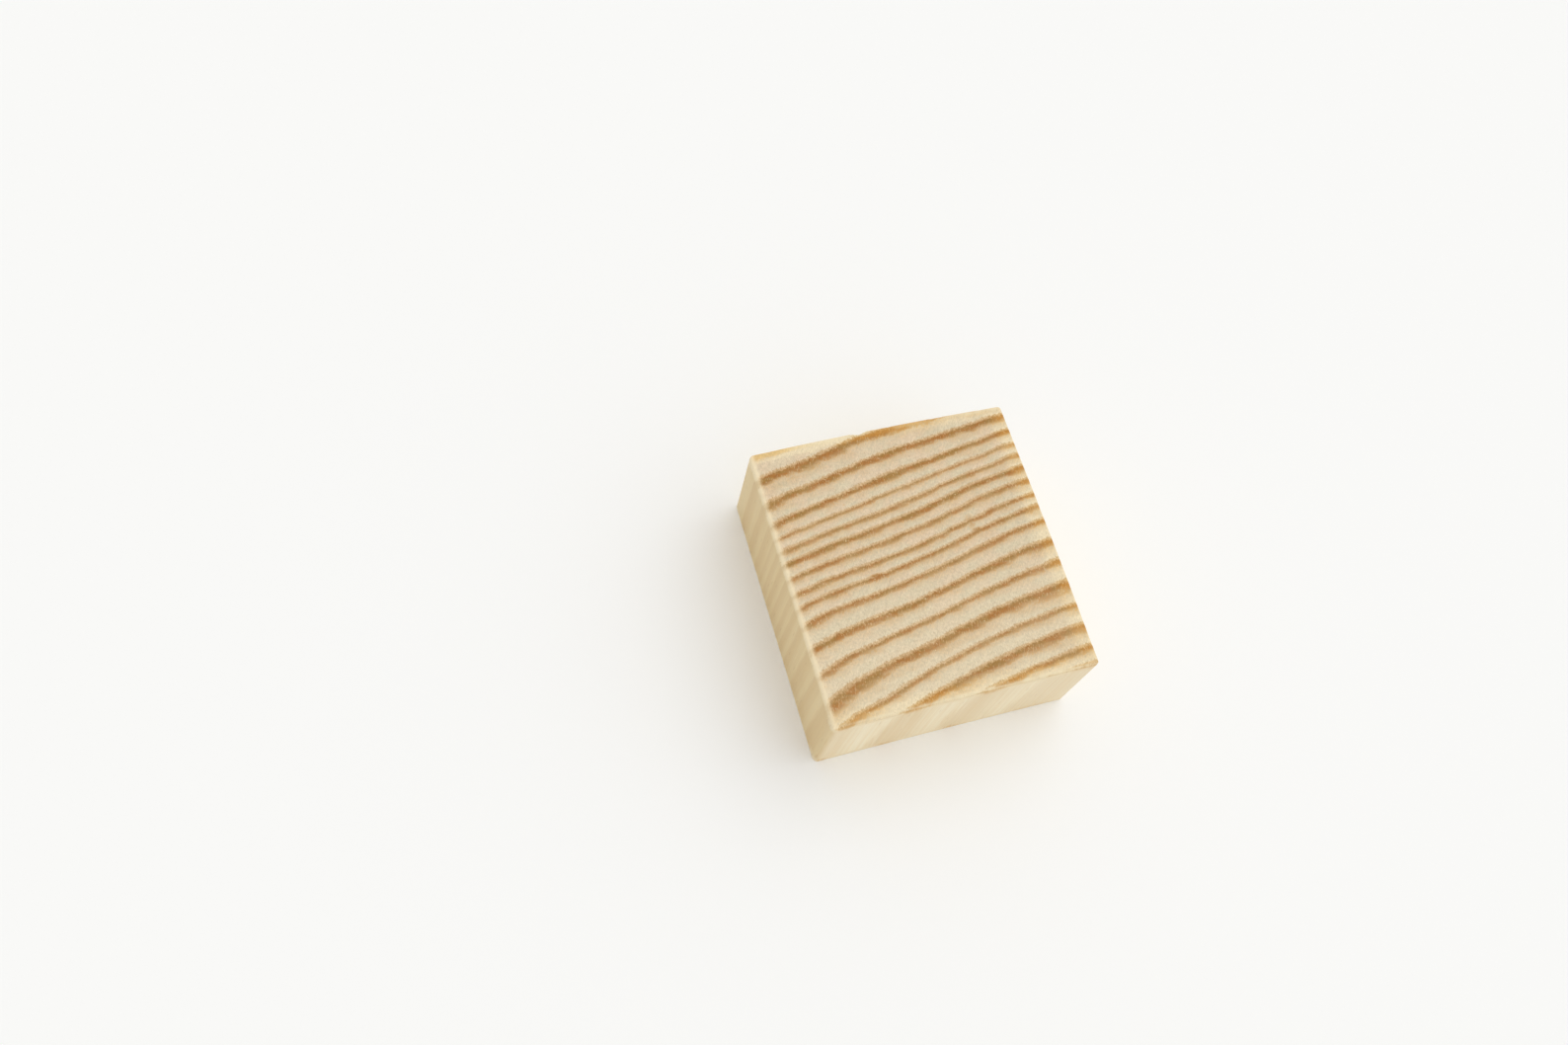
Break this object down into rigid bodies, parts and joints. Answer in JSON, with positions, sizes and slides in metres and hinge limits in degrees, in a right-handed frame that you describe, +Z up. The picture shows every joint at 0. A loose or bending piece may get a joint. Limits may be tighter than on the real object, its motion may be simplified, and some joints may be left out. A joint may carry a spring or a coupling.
{
  "type": "wood block",
  "caption": "Square slice of pale pine batten, sawn across the grain, with curved growth rings on both sawn ends, planed sides, eased arrises and one torn edge.",
  "frame": {"origin": "middle of the underside, which is one of the two sawn end-grain faces", "axes": "+Z up, along the grain and through the thickness; +Y across the growth rings, away from the pith; +X along the growth rings"},
  "size_m": [0.04, 0.0424, 0.0165],
  "materials": {
    "pine": "bare softwood, sawn on the two end-grain faces and planed on the four sides"
  },
  "bodies": {
    "root": {"wood_block": "pine"}
  },
  "joints": []
}
